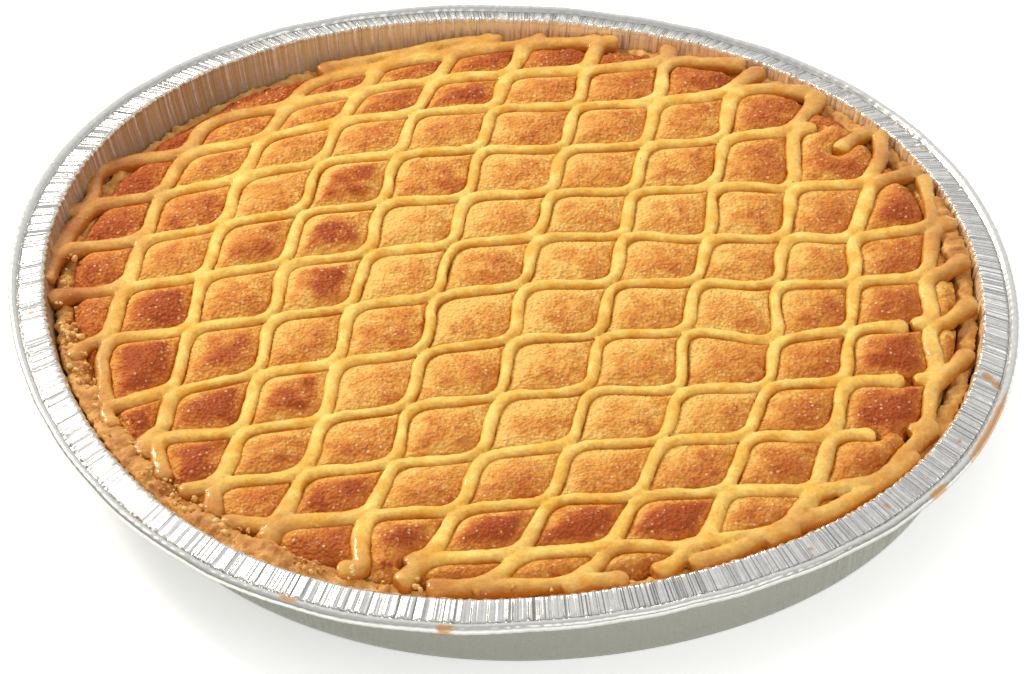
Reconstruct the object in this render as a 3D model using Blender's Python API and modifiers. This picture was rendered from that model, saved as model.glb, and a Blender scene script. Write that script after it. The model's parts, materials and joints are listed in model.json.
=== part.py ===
"""Frangipane tart in its own foil dish.

Four closed solids, nested from the outside in: a thin foil dish, a shortcrust pastry shell, the almond
filling, baked up into a pillow in every gap of the lattice, and the lattice itself, one sheet of dough
that was slit, pulled open and laid over the filling.  Sizes are in millimetres, and the meshes are made
in metres.  The origin is on the floor under the middle of the dish, X to the right, Y away, Z up.
"""
import bmesh
import bpy
import numpy as np
from math import atan2, cos, exp, hypot, pi, radians, sin

MM = 0.001
WELD = 0.00001
SLIVER = 0.05

# Foil dish
RIM_RADIUS = 140.0           # outside of the rolled edge
RIM_ROLL = 2.6               # thickness of the rolled edge
FLANGE_WIDTH = 10.0
FLANGE_DROP = 1.9            # the flange slopes down outwards
DISH_HEIGHT = 26.0           # floor to the shoulder between wall and flange
BASE_RADIUS = 124.0
BASE_CORNER = 1.5
FOIL = 0.5                   # thickness of the modelled foil
FOIL_STEPS = 96              # two for every flute of the wall
FLUTE = 0.22                 # depth of a flute each way

RIM_LEVEL = DISH_HEIGHT - FLANGE_DROP  # height of the rolled edge

# The rim is bent out of round by hand: long waves in its radius, as (how many, how deep, where)
BENDS = (
    (2, 0.0134, radians(78.0)), (3, 0.0135, radians(47.0)),
    (4, 0.0107, radians(236.0)), (5, 0.0038, radians(182.0)),
)
BASE_BEND = 0.5              # how much of that bend the base shares
BASE_ASIDE = (3.5, -1.5)     # the base sits this far right and away of the rim's middle

# Pastry shell
GAP = 0.3                    # clearance between neighbouring solids
UNDER_GAP = 1.5              # clearance below the strands, whose long faces can't follow every curve
CHANNEL_GAP = 1.3            # clearance beside the strands
PASTRY = 4.6                 # thickness of the pastry wall
PASTRY_FLOOR = 3.2
PASTRY_STEPS = 72
CRUMB = 0.7                  # roughness of the broken rim
SLUMP_ANGLE = radians(214.0)  # where the shell stands free of the lattice
SLUMP_WIDTH = radians(30.0)
SLUMP_RISE = 1.6
WALL_LOW = FOIL + GAP + 1.6  # the pastry wall rises straight from here
WALL_HIGH = 19.0             # to here, below its rim

# Top of the lattice above the floor
CROWN = 29.4                 # in the middle of the tart
SHOULDER_FALL = 2.6          # lower at the edge
SINK = 5.2                   # further down at the back left
SINK_ANGLE = radians(130.0)
SINK_START, SINK_END = 66.0, 122.0
LIFT = 2.2                   # the side facing away on the right baked up level with the middle
LIFT_ANGLE = radians(48.0)

# Lattice: one sheet of dough, slit and pulled open
STRAND = 3.8                 # width of a strand
STRAND_HEIGHT = 4.0
STRAND_ROUND = 1.3           # the edges of a strand are this much lower than its ridge
SIDE = 23.0                  # spacing of the strands
CORNER_BEVEL = 3.4
CELLS = 9                    # cells each way from the middle that the sheet is laid out with
CROWDING = 0.5               # how far the strands bunch up where they meet the rim
CROWD_WIDTH = 8.0            # width of the bunched ring, and of the dough that is pushed into it
CROWD_TAKES = 16.0
STUB_LIMIT = 9.5             # a strand is kept if its middle is no further than this into that dough
SHEET_MIDDLE = (0.8, -26.6)
ALONG = (23.0, 5.3)          # from one crossing to the next, along a row
ACROSS = (2.3, 23.5)         # and from row to row
ROW_TWIST = (-0.17, 0.29)    # both together
ROW_BOW = (-0.39, 0.19)      # bow of the rows, square and cube of the row's number
ROW_BOW_CUBE = (0.07, -0.06)
ALONG_CUBE = (-0.013, -0.027)
# Where the sheet was pulled or pushed by hand: the crossing, and how far it went right and away
TUGS = (
    ((2, 3), (3.0, -4.0)), ((-3, 5), (0.5, 4.0)), ((0, 1), (0.0, 4.0)), ((4, 2), (0.5, -5.5)),
    ((1, 5), (3.0, -4.0)), ((-2, 0), (-2.5, -1.5)), ((-4, -1), (3.0, -2.0)), ((-2, 6), (0.0, 4.0)),
    ((3, 6), (1.0, 3.0)), ((-4, 6), (2.5, 1.0)),
)
TUG_SPREAD = 1.7             # in cells
WANDER = 0.5                 # a small error in the place of every crossing
STUB_SPILL = 0.1             # how much of a strand's end still passes the reach
# How far short of the foil wall the lattice stops, by direction in degrees
INSETS = (
    (0, 2.2), (25, 1.8), (60, 1.8), (80, 2.2), (95, 3.0), (115, 6.5), (130, 8.5), (142, 6.0),
    (152, 1.8), (178, 1.8), (190, 2.5), (205, 6.0), (240, 6.0), (262, 4.0), (280, 3.0),
)
# Crossings near the rim that were pushed about by hand, and how far right and away
NUDGES = {
    (-4, 0): (0.0, -3.0), (3, 5): (4.0, -1.0), (2, 6): (4.0, 0.0), (5, 3): (3.0, 1.0),
    (0, 7): (0.0, 3.0), (-1, 7): (0.0, 3.0), (-6, 2): (-4.0, -1.0), (-5, 0): (-1.0, -5.0),
    (-5, -1): (4.0, -6.0), (-4, -2): (2.0, -4.0),
}
# Strands that broke or were never pinched on: the crossing they start at and their direction, with the
# parts of their length that are left at their start and at their end
BROKEN = {
    ((4, 0), "along"): (0.72, 0), ((4, -1), "along"): (0.55, 0), ((4, -2), "along"): (0.35, 0),
    ((3, 3), "along"): (0, 0.8), ((3, 4), "along"): (0, 0.55),
}

# Filling
PILLOW_DROP = 0.5            # the pillows' usual height below the strands' ridges
PILLOW_SPREAD = 0.5          # how much that varies
PILLOW_SHOULDER = 0.27       # place of a pillow's shoulder, as a part of its cell
BROWNED = (
    (-3, 1), (-3, 2), (-3, 3), (-5, 1), (-5, 0), (-5, -1), (-4, -2), (-3, -1), (-4, -1),
    (-1, -4), (0, -4), (1, -4), (2, -4), (4, -1), (4, -2), (4, 2), (4, 3), (4, 4), (5, -1),
)
BROWNED_RISE = 1.1

FOIL_COLOUR = (0.78, 0.79, 0.78)
PASTRY_COLOUR = (0.74, 0.45, 0.17)
FILLING_COLOUR = (0.68, 0.31, 0.08)
LATTICE_COLOUR = (0.82, 0.50, 0.14)


# ---------------------------------------------------------------- shared shape

def out_of_round(angle):
    """By what part of itself the bent rim's radius is longer or shorter in this direction."""
    return sum(depth * cos(waves * angle - turn) for waves, depth, turn in BENDS)


def rim_middle():
    """Middle of the box round the bent rim, so that the finished dish is centred on the origin."""
    angles = np.linspace(0, 2 * pi, 721)
    radii = [RIM_RADIUS * (1 + out_of_round(angle)) for angle in angles]
    x = radii * np.cos(angles)
    y = radii * np.sin(angles)
    return (x.min() + x.max()) / 2, (y.min() + y.max()) / 2


MIDDLE = rim_middle()


def bent(radius, angle, z):
    """A point of the bent dish, from its radius before bending and its height."""
    share = min(max(z / RIM_LEVEL, 0.0), 1.0)
    r = radius * (1 + (BASE_BEND + (1 - BASE_BEND) * share) * out_of_round(angle))
    x = r * cos(angle) - MIDDLE[0] + (1 - share) * BASE_ASIDE[0]
    y = r * sin(angle) - MIDDLE[1] + (1 - share) * BASE_ASIDE[1]
    return x, y


def smooth(value):
    """A soft step from 0 to 1."""
    t = min(max(value, 0.0), 1.0)
    return t * t * (3 - 2 * t)


def top(x, y):
    """Height of the ridges of the strands above the floor."""
    r = hypot(x, y)
    towards = max(0.0, cos(atan2(y, x) - SINK_ANGLE)) ** 1.5
    sunk = SINK * towards * smooth((r - SINK_START) / (SINK_END - SINK_START))
    lifted = LIFT * max(0.0, cos(atan2(y, x) - LIFT_ANGLE)) ** 1.5
    return CROWN - (SHOULDER_FALL - lifted) * (r / BASE_RADIUS) ** 2 - sunk


def wall_radius(z):
    """Outside of the foil wall at a height."""
    lean = (RIM_RADIUS - FLANGE_WIDTH - BASE_RADIUS) / (DISH_HEIGHT - BASE_CORNER)
    return BASE_RADIUS + lean * (z - BASE_CORNER)


def reach(angle):
    """How far the lattice reaches in this direction; its inset eases from one direction to the next."""
    degrees = (angle * 180 / pi) % 360
    turns = INSETS + ((INSETS[0][0] + 360, INSETS[0][1]),)
    for (start, near), (end, far) in zip(turns, turns[1:]):
        if start <= degrees < end:
            inset = near + (far - near) * smooth((degrees - start) / (end - start))
    return hypot(*bent(wall_radius(RIM_LEVEL), angle, RIM_LEVEL)) - inset


def pastry_radius(z):
    """Outside of the pastry at a height, clear of the foil and its flutes."""
    return wall_radius(z) - FOIL - 2 * FLUTE - GAP


# ---------------------------------------------------------------- objects

def finish(name, mesh, colour, roughness, metallic, collection):
    """Make the object of one sub-part, with its material."""
    material = bpy.data.materials.new(name)
    material.use_nodes = True
    shader = material.node_tree.nodes["Principled BSDF"]
    shader.inputs["Base Color"].default_value = (*colour, 1)
    shader.inputs["Roughness"].default_value = roughness
    shader.inputs["Metallic"].default_value = metallic
    mesh.materials.append(material)
    piece = bpy.data.objects.new(name, mesh)
    collection.objects.link(piece)
    return piece


def to_mesh(bm, name):
    """Turn a mesh under construction, in millimetres, into one in metres."""
    bmesh.ops.scale(bm, vec=(MM, MM, MM), verts=bm.verts[:])
    mesh = bpy.data.meshes.new(name)
    bm.to_mesh(mesh)
    bm.free()
    return mesh


def turned(profile, steps, name):
    """Turn a profile round the Z axis with a Screw modifier, and give back its mesh in millimetres."""
    mesh = bpy.data.meshes.new(name)
    mesh.from_pydata([(r, 0, z) for r, z in profile], [(i, i + 1) for i in range(len(profile) - 1)], [])
    piece = bpy.data.objects.new(name, mesh)
    bpy.context.scene.collection.objects.link(piece)
    screw = piece.modifiers.new("turn", "SCREW")
    screw.steps = steps
    screw.render_steps = steps
    screw.use_merge_vertices = True
    screw.merge_threshold = WELD
    bpy.context.view_layer.update()
    evaluated = piece.evaluated_get(bpy.context.evaluated_depsgraph_get())
    bm = bmesh.new()
    bm.from_mesh(evaluated.to_mesh())
    evaluated.to_mesh_clear()
    bpy.data.objects.remove(piece)
    bmesh.ops.remove_doubles(bm, verts=bm.verts[:], dist=WELD)
    return bm


def bend(bm, shape):
    """Move each turned vertex to where shape(radius, angle, z) puts it on the bent dish."""
    for vertex in bm.verts:
        radius = hypot(vertex.co.x, vertex.co.y)
        angle = atan2(vertex.co.y, vertex.co.x)
        radius, z = shape(radius, angle, vertex.co.z)
        vertex.co = (*bent(radius, angle, z), z)


# ---------------------------------------------------------------- the pieces

def foil_dish(collection):
    """A pressed foil dish: flat base, fluted leaning wall, sloping flange and a rolled edge."""
    shoulder = RIM_RADIUS - FLANGE_WIDTH
    flange_end = RIM_RADIUS - RIM_ROLL
    profile = [
        (RIM_RADIUS - 0.7, RIM_LEVEL - RIM_ROLL / 2),
        (RIM_RADIUS, RIM_LEVEL),
        (RIM_RADIUS - RIM_ROLL / 2, RIM_LEVEL + 0.7),
        (flange_end, RIM_LEVEL + 0.1),
        (shoulder + 0.8, DISH_HEIGHT),
        (shoulder - 0.6, DISH_HEIGHT - 1),
        (BASE_RADIUS, BASE_CORNER),
        (BASE_RADIUS - BASE_CORNER, 0),
        (0, 0),
    ]
    bm = turned(profile, FOIL_STEPS, "foil_dish")

    def fluted(radius, angle, z):
        side = 1 if round(angle / (2 * pi) * FOIL_STEPS) % 2 else -1
        on_wall = BASE_CORNER < z < DISH_HEIGHT - 0.5 and radius < shoulder
        on_flange = shoulder <= radius < RIM_RADIUS - RIM_ROLL / 2 - 0.1
        return radius + side * FLUTE * on_wall, z + side * FLUTE * on_flange

    bend(bm, fluted)
    piece = finish("foil_dish", to_mesh(bm, "foil_dish"), FOIL_COLOUR, 0.28, 1.0, collection)
    foil = piece.modifiers.new("foil", "SOLIDIFY")
    foil.thickness = FOIL * MM
    foil.offset = -1
    return piece


def pastry_shell(collection):
    """The pastry case: a flat floor, a leaning wall and an uneven, crumbly rim under the lattice."""
    low = FOIL + GAP
    rim = 30.0               # lowered to just under the lattice by the shaping below
    rim_level = 21.0
    wall_top = 2.5           # the wall's straight part ends this much below the rim
    lip = PASTRY * 0.3
    profile = [
        (0, low + PASTRY_FLOOR),
        (pastry_radius(WALL_LOW) - PASTRY, low + PASTRY_FLOOR),
        (pastry_radius(WALL_HIGH) - PASTRY, WALL_HIGH),
        (pastry_radius(WALL_HIGH) - PASTRY + lip, rim),
        (pastry_radius(rim_level) - lip, rim),
        (pastry_radius(WALL_HIGH), WALL_HIGH),
        (pastry_radius(WALL_LOW), WALL_LOW),
        (pastry_radius(low) - 1.4, low),
        (0, low),
    ]
    bm = turned(profile, PASTRY_STEPS, "pastry_shell")
    crumbs = np.random.default_rng(11).uniform(-1, 1, (2, PASTRY_STEPS))

    def crumbly(radius, angle, z):
        if z < WALL_HIGH - 2:
            return radius, z
        step = round(angle / (2 * pi) * PASTRY_STEPS) % PASTRY_STEPS
        inner = radius < pastry_radius(WALL_HIGH) - PASTRY / 2
        off = (angle - SLUMP_ANGLE + pi) % (2 * pi) - pi
        rise = SLUMP_RISE * smooth(1.6 - abs(off) / SLUMP_WIDTH)
        x, y = bent(pastry_radius(rim_level), angle, rim_level)
        level = top(x, y) - STRAND_HEIGHT - UNDER_GAP - CRUMB + rise
        on_rim = z > rim - 1
        z = level + CRUMB * crumbs[int(inner)][step] if on_rim else min(z, level - wall_top)
        return pastry_radius(min(z, level)) - PASTRY * inner + lip * on_rim * (1 if inner else -1), z

    bend(bm, crumbly)
    return finish("pastry_shell", to_mesh(bm, "pastry_shell"), PASTRY_COLOUR, 0.75, 0.0, collection)


def laid(u, v, wander):
    """Where a point of the slit sheet lies: u along the rows and v across them, in cells."""
    x = SHEET_MIDDLE[0] + u * ALONG[0] + v * ACROSS[0] + u * v * ROW_TWIST[0]
    y = SHEET_MIDDLE[1] + u * ALONG[1] + v * ACROSS[1] + u * v * ROW_TWIST[1]
    x += v * v * ROW_BOW[0] + v ** 3 * ROW_BOW_CUBE[0] + u ** 3 * ALONG_CUBE[0]
    y += v * v * ROW_BOW[1] + v ** 3 * ROW_BOW_CUBE[1] + u ** 3 * ALONG_CUBE[1]
    for (i, j), (right, away) in TUGS:
        weight = exp(-((u - i) ** 2 + (v - j) ** 2) / (2 * TUG_SPREAD ** 2))
        x += right * weight
        y += away * weight
    pushed = NUDGES.get((round(u), round(v)), (0.0, 0.0))
    i = min(max(int(round(u)) + CELLS, 0), 2 * CELLS)
    j = min(max(int(round(v)) + CELLS, 0), 2 * CELLS)
    x += WANDER * wander[0][i][j] + pushed[0]
    y += WANDER * wander[1][i][j] + pushed[1]
    r = hypot(x, y)
    beyond = r - reach(atan2(y, x)) + CROWD_WIDTH
    crowded = 1 - (1 - CROWDING) * min(max(beyond, 0.0), CROWD_TAKES) / max(r, 1.0)
    return x * crowded, y * crowded


def sheet(lines, wander, corner=0.0):
    """A grid over the whole sheet with the given lines in every cell, as (bmesh, (u, v) of each vertex).

    corner moves the first and last lines' crossing inwards at the two blunt corners of every cell.
    """
    count = 2 * CELLS * len(lines)
    bm = bmesh.new()
    bmesh.ops.create_grid(bm, x_segments=count, y_segments=count, size=count / 2)
    spot = {}
    for vertex in bm.verts:
        column = int(round(vertex.co.x + count / 2))
        row = int(round(vertex.co.y + count / 2))
        u = column // len(lines) - CELLS + lines[column % len(lines)]
        v = row // len(lines) - CELLS + lines[row % len(lines)]
        place = (column % len(lines), row % len(lines))
        if place == (0, len(lines) - 1):
            u, v = u + corner, v - corner
        if place == (len(lines) - 1, 0):
            u, v = u - corner, v + corner
        spot[vertex] = (u, v)
        vertex.co = (*laid(u, v, wander), 0)
    return bm, spot


def middle_of(face, spot):
    """Mean place of a face's vertices on the sheet."""
    places = [spot[vertex] for vertex in face.verts]
    return sum(u for u, v in places) / len(places), sum(v for u, v in places) / len(places)


def strand_of(u, v, half):
    """What a spot on the sheet belongs to: a crossing, a strand from a crossing, or an open cell."""
    i, j = round(u), round(v)
    near_u, near_v = abs(u - i) < half, abs(v - j) < half
    if near_u and near_v:
        return (i, j), "crossing"
    if near_v:
        return (int(u // 1), j), "along"
    if near_u:
        return (i, int(v // 1)), "across"
    return (int(u // 1), int(v // 1)), "open"


def lattice(collection, wander):
    """The lattice: a sheet with its cells cut out, thickened downwards, with rounded ridges."""
    half = STRAND / 2 / SIDE
    bm, spot = sheet((0, half, 1 - half), wander)
    kept = set()
    for i in range(-CELLS, CELLS):
        for j in range(-CELLS, CELLS):
            for way, step in (("along", (0.5, 0)), ("across", (0, 0.5))):
                x, y = laid(i + step[0], j + step[1], wander)
                free = reach(atan2(y, x)) - CROWD_WIDTH
                if hypot(x, y) < free + CROWDING * STUB_LIMIT and ((i, j), way) not in BROKEN:
                    kept.add(((i, j), way))
                    end = (i + 1, j) if way == "along" else (i, j + 1)
                    kept.add(((i, j), "crossing"))
                    kept.add((end, "crossing"))
    waste = [face for face in bm.faces if strand_of(*middle_of(face, spot), half) not in kept]
    bmesh.ops.delete(bm, geom=waste, context="FACES")
    keep_largest(bm)
    spot = {vertex: spot[vertex] for vertex in bm.verts}
    for ((i, j), way), (start, end) in BROKEN.items():
        add_stub(bm, spot, (i + half, j), start * (1 - 2 * half), half, wander)
        add_stub(bm, spot, (i + 1 - half, j), -end * (1 - 2 * half), half, wander)
    for vertex in bm.verts:
        r = hypot(vertex.co.x, vertex.co.y)
        limit = reach(atan2(vertex.co.y, vertex.co.x))
        if r > limit:
            vertex.co *= (limit + (r - limit) * STUB_SPILL) / r
    raised = bmesh.ops.extrude_face_region(bm, geom=bm.faces[:])["geom"]
    upper = {vertex for vertex in raised if isinstance(vertex, bmesh.types.BMVert)}
    under = {}
    for vertex in spot:
        under[round(vertex.co.x, 4), round(vertex.co.y, 4)] = spot[vertex]
    turns = []
    for vertex in bm.verts:
        u, v = under[round(vertex.co.x, 4), round(vertex.co.y, 4)]
        ridge = abs(u - round(u)) < 0.01 or abs(v - round(v)) < 0.01
        z = top(vertex.co.x, vertex.co.y)
        if vertex in upper:
            vertex.co.z = z if ridge else z - STRAND_ROUND
        else:
            vertex.co.z = z - STRAND_HEIGHT
        at_crossing = max(abs(u - round(u)), abs(v - round(v))) < half + 0.01
        if vertex in upper and not ridge and at_crossing and (u - round(u)) * (v - round(v)) < 0:
            turns.append(vertex)
    edges = []
    for vertex in turns:
        for edge in vertex.link_edges:
            if edge.other_vert(vertex) not in upper and len(vertex.link_edges) == 4:
                edges.append(edge)
    bmesh.ops.bevel(bm, geom=edges, offset=CORNER_BEVEL, segments=2, profile=0.5, affect="EDGES")
    bmesh.ops.recalc_face_normals(bm, faces=bm.faces[:])
    return finish("lattice", to_mesh(bm, "lattice"), LATTICE_COLOUR, 0.5, 0.0, collection)


def add_stub(bm, spot, root, length, half, wander):
    """Leave a stub of this length, in cells, of a strand that broke off along its row at the root."""
    if not length:
        return
    at_root = {vertex for vertex, (u, v) in spot.items() if max(abs(u - root[0]), abs(v - root[1]) - half) < 0.01}
    edges = [edge for edge in bm.edges if set(edge.verts) <= at_root and edge.is_boundary]
    grown = bmesh.ops.extrude_edge_only(bm, edges=edges)["geom"]
    for vertex in [item for item in grown if isinstance(item, bmesh.types.BMVert)]:
        for edge in vertex.link_edges:
            if edge.other_vert(vertex) in at_root:
                u, v = spot[edge.other_vert(vertex)]
        spot[vertex] = (u + length, v)
        vertex.co = (*laid(u + length, v, wander), 0)


def keep_largest(bm):
    """Drop every loose scrap of a mesh, keeping its largest connected part."""
    left = set(bm.faces)
    groups = []
    while left:
        group = [left.pop()]
        for face in group:
            for edge in face.edges:
                for other in edge.link_faces:
                    if other in left:
                        left.remove(other)
                        group.append(other)
        groups.append(group)
    groups.sort(key=len)
    for group in groups[:-1]:
        bmesh.ops.delete(bm, geom=group, context="FACES")


def frangipane(collection, tools, wander):
    """The filling: a block with a pillow in every cell and a channel under every strand, cut to fit."""
    low = FOIL + 2 * GAP + PASTRY_FLOOR
    channel = (STRAND / 2 + CHANNEL_GAP) / SIDE
    lines = (channel, PILLOW_SHOULDER, 1 - PILLOW_SHOULDER, 1 - channel)
    bm, spot = sheet(lines, wander, CORNER_BEVEL / 2 / SIDE)
    waste = []
    for face in bm.faces:
        if all(hypot(vertex.co.x, vertex.co.y) > BASE_RADIUS + SIDE / 4 for vertex in face.verts):
            waste.append(face)
    bmesh.ops.delete(bm, geom=waste, context="FACES")
    keep_largest(bm)
    spot = {(round(vertex.co.x, 4), round(vertex.co.y, 4)): spot[vertex] for vertex in bm.verts}
    raised = bmesh.ops.extrude_face_region(bm, geom=bm.faces[:])["geom"]
    upper = {vertex for vertex in raised if isinstance(vertex, bmesh.types.BMVert)}
    swell = np.random.default_rng(5).uniform(-1, 1, (2 * CELLS + 1, 2 * CELLS + 1))
    for vertex in bm.verts:
        if vertex not in upper:
            vertex.co.z = low - PASTRY_FLOOR
            continue
        u, v = spot[round(vertex.co.x, 4), round(vertex.co.y, 4)]
        i, j = int(u // 1), int(v // 1)
        ridge = top(vertex.co.x, vertex.co.y)
        in_channel = min(u - i, v - j, i + 1 - u, j + 1 - v) < PILLOW_SHOULDER - 0.01
        if in_channel:
            vertex.co.z = ridge - STRAND_HEIGHT - UNDER_GAP
        else:
            vertex.co.z = ridge - PILLOW_DROP + PILLOW_SPREAD * swell[i + CELLS][j + CELLS]
            vertex.co.z += BROWNED_RISE * ((i, j) in BROWNED)
    bmesh.ops.recalc_face_normals(bm, faces=bm.faces[:])
    block = bpy.data.objects.new("block", to_mesh(bm, "block"))
    bpy.context.scene.collection.objects.link(block)

    slack = GAP + PASTRY
    over_all = 2 * CROWN
    profile = [
        (0, over_all),
        (pastry_radius(WALL_HIGH) - slack, over_all),
        (pastry_radius(WALL_HIGH) - slack, WALL_HIGH),
        (pastry_radius(WALL_LOW) - slack, low),
        (0, low),
    ]
    cavity_mesh = turned(profile, PASTRY_STEPS, "cavity")
    bend(cavity_mesh, lambda radius, angle, z: (radius, z))
    cavity = bpy.data.objects.new("cavity", to_mesh(cavity_mesh, "cavity"))
    cavity.hide_render = True
    cavity.display_type = "WIRE"
    tools.objects.link(cavity)
    cut = block.modifiers.new("fit", "BOOLEAN")
    cut.operation = "INTERSECT"
    cut.object = cavity
    cut.solver = "EXACT"
    bpy.context.view_layer.update()
    fitted = bmesh.new()
    fitted.from_object(block, bpy.context.evaluated_depsgraph_get())
    bpy.data.objects.remove(block)
    bmesh.ops.remove_doubles(fitted, verts=fitted.verts[:], dist=SLIVER * MM)
    keep_largest(fitted)
    mesh = bpy.data.meshes.new("frangipane")
    fitted.to_mesh(mesh)
    fitted.free()
    return finish("frangipane", mesh, FILLING_COLOUR, 0.6, 0.0, collection)


def main():
    for piece in list(bpy.data.objects):
        bpy.data.objects.remove(piece)
    scene = bpy.context.scene.collection
    tart = bpy.data.collections.new("frangipane_tart")
    tools = bpy.data.collections.new("cutters")
    scene.children.link(tart)
    scene.children.link(tools)
    wander = np.random.default_rng(3).uniform(-1, 1, (2, 2 * CELLS + 1, 2 * CELLS + 1))
    foil_dish(tart)
    pastry_shell(tart)
    frangipane(tart, tools, wander)
    lattice(tart, wander)


main()
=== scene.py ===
"""Frangipane tart in its foil dish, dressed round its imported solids.

Laid out as an add-on: sizes and colours in property groups, one operator for each piece and one for the
studio, and a panel that lists them.  Sizes in the property groups are in metres; the shape functions
below work in millimetres, as a pastry cook would measure.
"""
import json
from math import cos, pi, radians, sin

import bpy
import numpy as np
from bpy.props import FloatProperty, FloatVectorProperty, IntProperty, PointerProperty
from mathutils import Matrix, Vector, noise
from mathutils.kdtree import KDTree

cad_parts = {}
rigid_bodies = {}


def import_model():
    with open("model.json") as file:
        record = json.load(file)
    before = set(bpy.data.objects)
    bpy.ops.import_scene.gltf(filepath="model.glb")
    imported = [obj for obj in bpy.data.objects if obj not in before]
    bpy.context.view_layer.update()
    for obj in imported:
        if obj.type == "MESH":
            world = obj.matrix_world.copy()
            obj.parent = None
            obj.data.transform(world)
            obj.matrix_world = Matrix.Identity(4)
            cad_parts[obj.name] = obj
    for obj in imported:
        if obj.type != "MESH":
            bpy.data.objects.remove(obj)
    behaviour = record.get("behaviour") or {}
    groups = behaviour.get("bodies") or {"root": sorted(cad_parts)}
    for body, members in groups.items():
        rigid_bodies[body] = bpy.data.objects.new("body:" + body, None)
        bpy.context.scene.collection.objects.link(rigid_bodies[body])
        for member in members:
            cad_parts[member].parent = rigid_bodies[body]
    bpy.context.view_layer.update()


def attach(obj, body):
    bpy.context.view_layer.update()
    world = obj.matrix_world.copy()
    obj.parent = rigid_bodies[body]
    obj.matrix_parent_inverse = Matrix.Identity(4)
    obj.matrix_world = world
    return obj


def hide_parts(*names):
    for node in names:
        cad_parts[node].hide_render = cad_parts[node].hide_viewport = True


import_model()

bl_info = {
    "name": "Frangipane Tart",
    "version": (1, 0, 0),
    "blender": (4, 5, 0),
    "location": "View3D > Sidebar > Tart",
    "description": "Dresses a frangipane tart in its foil dish: foil, pastry, almond filling and lattice",
    "category": "Object",
}

MM = 0.001

# ---------------------------------------------------------------- the tart's plan, in millimetres

RIM_RADIUS = 140.0
FLANGE_WIDTH = 10.0
FLANGE_DROP = 1.9        # the flange slopes down outwards
DISH_HEIGHT = 26.0       # floor to the shoulder between wall and flange
BASE_RADIUS = 124.0
BASE_CORNER = 1.5
PASTRY = 4.6             # thickness of the pastry wall
RIM_LEVEL = DISH_HEIGHT - FLANGE_DROP
# The rim is bent out of round by hand: long waves in its radius, as (how many, how deep, where)
BENDS = (
    (2, 0.0134, radians(78.0)), (3, 0.0135, radians(47.0)),
    (4, 0.0107, radians(236.0)), (5, 0.0038, radians(182.0)),
)
BASE_BEND = 0.5          # how much of that bend the base shares
BASE_ASIDE = (3.5, -1.5)
CROWN = 29.4             # top of the lattice, in the middle of the tart
SHOULDER_FALL = 2.6      # lower at the edge
LEAN_POWER = 1.5         # how sharply the sunk and the lifted side are bounded
SINK = 5.2               # further down at the back left
SINK_ANGLE = radians(130.0)
SINK_START, SINK_END = 66.0, 122.0
LIFT = 2.2               # the side facing away on the right baked up level with the middle
LIFT_ANGLE = radians(48.0)
CELLS = 9
BACK_STEPS = 13          # enough to find a cell from its place on the tart
CROWDING = 0.5           # how far the strands bunch up where they meet the rim
CROWD_WIDTH = 8.0        # width of the bunched ring, and of the dough that is pushed into it
CROWD_TAKES = 16.0
SHEET_MIDDLE = (0.8, -26.6)
ALONG = (23.0, 5.3)      # from one crossing to the next, along a row
ACROSS = (2.3, 23.5)     # and from row to row
ROW_TWIST = (-0.17, 0.29)
ROW_BOW = (-0.39, 0.19)
ROW_BOW_CUBE = (0.07, -0.06)
ALONG_CUBE = (-0.013, -0.027)
# Where the sheet was pulled or pushed by hand: the crossing, and how far it went right and away
TUGS = (
    ((2, 3), (3.0, -4.0)), ((-3, 5), (0.5, 4.0)), ((0, 1), (0.0, 4.0)), ((4, 2), (0.5, -5.5)),
    ((1, 5), (3.0, -4.0)), ((-2, 0), (-2.5, -1.5)), ((-4, -1), (3.0, -2.0)), ((-2, 6), (0.0, 4.0)),
    ((3, 6), (1.0, 3.0)), ((-4, 6), (2.5, 1.0)),
)
TUG_SPREAD = 1.7         # in cells
WANDER = 0.5             # how far every crossing strays
RIM_BROADER = 0.32       # the strands are cut this much wider by the rim
BROADER_FROM, BROADER_OVER = 80.0, 35.0
PROUD = 0.75             # the strands' ridges keep this much under the plan's height, which the roughness takes
# How far short of the foil wall the lattice stops, by direction in degrees
INSETS = (
    (0, 1.5), (25, 0.0), (60, 0.0), (80, 1.5), (95, 2.5), (115, 6.5), (130, 8.5), (142, 6.0), (150, 0.0),
    (178, -2.0), (190, -0.5), (205, 4.5), (240, 6.0), (262, 4.0), (280, 3.0),
)
# Single crossings and loose ends that were pushed about near the rim, right and away
NUDGES = {
    (-6, 3): (-6.0, -1.0), (-6, 2): (-9.0, -2.0), (-6, 1): (1.0, -10.0), (-5, 0): (-1.0, -9.5), (-4, 0): (0.0, -3.0),
    (-5, -1): (8.0, -11.0), (-4, -2): (1.0, -7.5), (3, 5): (8.0, -1.0), (2, 6): (11.0, 0.0), (4, 4): (8.0, -1.0),
    (5, 3): (3.0, 1.0), (6, 1): (0.0, 6.0), (6, 0): (0.0, 8.0), (6, -1): (0.0, 10.0), (0, 7): (0.0, 3.0),
    (-1, 7): (0.0, 3.0), (-6, 5): (-9.0, 2.0), (-1, -4): (6.0, -5.0), (4, 3): (2.0, -3.5), (4, 2): (-1.3, -5.4),
    (5, 2): (0.0, -3.6), (5, 1): (-1.5, -2.0), (5, -1): (2.3, 0.0), (5, -2): (6.0, 0.0), (3, 3): (0.0, -2.8),
    (3, 2): (0.0, -2.5), (2, 2): (0.5, -2.2), (3, 1): (0.0, -1.5), (3, 0): (1.5, -3.5), (4, 1): (0.0, -2.2),
    (4, 0): (0.0, -1.2), (3, -1): (1.5, -1.0), (2, -1): (1.5, -1.0),
}
# A loose strand along the rim at the front right: from and to in degrees, and how far short of the wall
RIM_STRAND = (294.0, 331.0, 5.0)
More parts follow.
